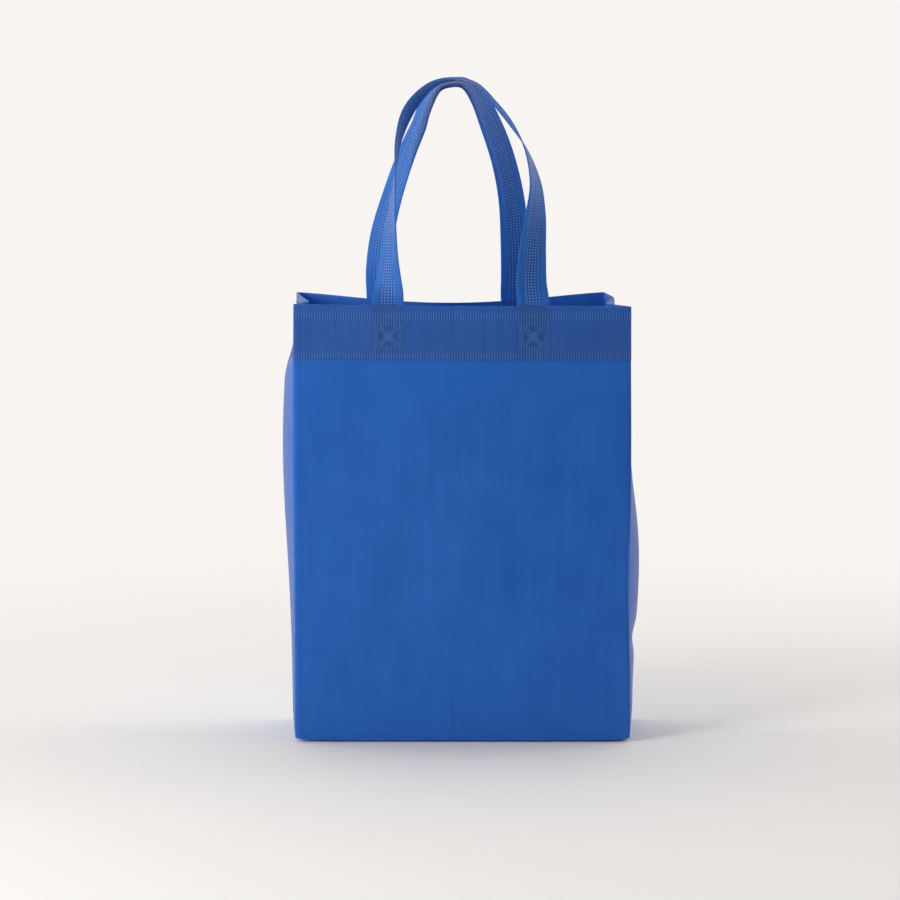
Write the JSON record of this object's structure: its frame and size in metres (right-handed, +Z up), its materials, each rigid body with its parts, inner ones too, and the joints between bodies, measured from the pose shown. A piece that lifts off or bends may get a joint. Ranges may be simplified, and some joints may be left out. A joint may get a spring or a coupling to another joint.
{
  "type": "non-woven shopping bag",
  "caption": "Upright non-woven carrier bag standing open, with a boxed bottom, side gussets, a turned-in hem and welded loop handles, for carrying shopping.",
  "frame": {"origin": "centre of the flat base, on its underside", "axes": "+Z up, +X to the right seen from the front, +Y from the front panel towards the back"},
  "size_m": [0.3407, 0.1193, 0.6353],
  "materials": {
    "bag_sheet": "matt embossed spun-bonded sheet",
    "strap": "matt folded sheet with a band of weld dots"
  },
  "bodies": {
    "root": {"bag_body": "bag_sheet", "front_handle": "strap", "back_handle": "strap"}
  },
  "joints": []
}
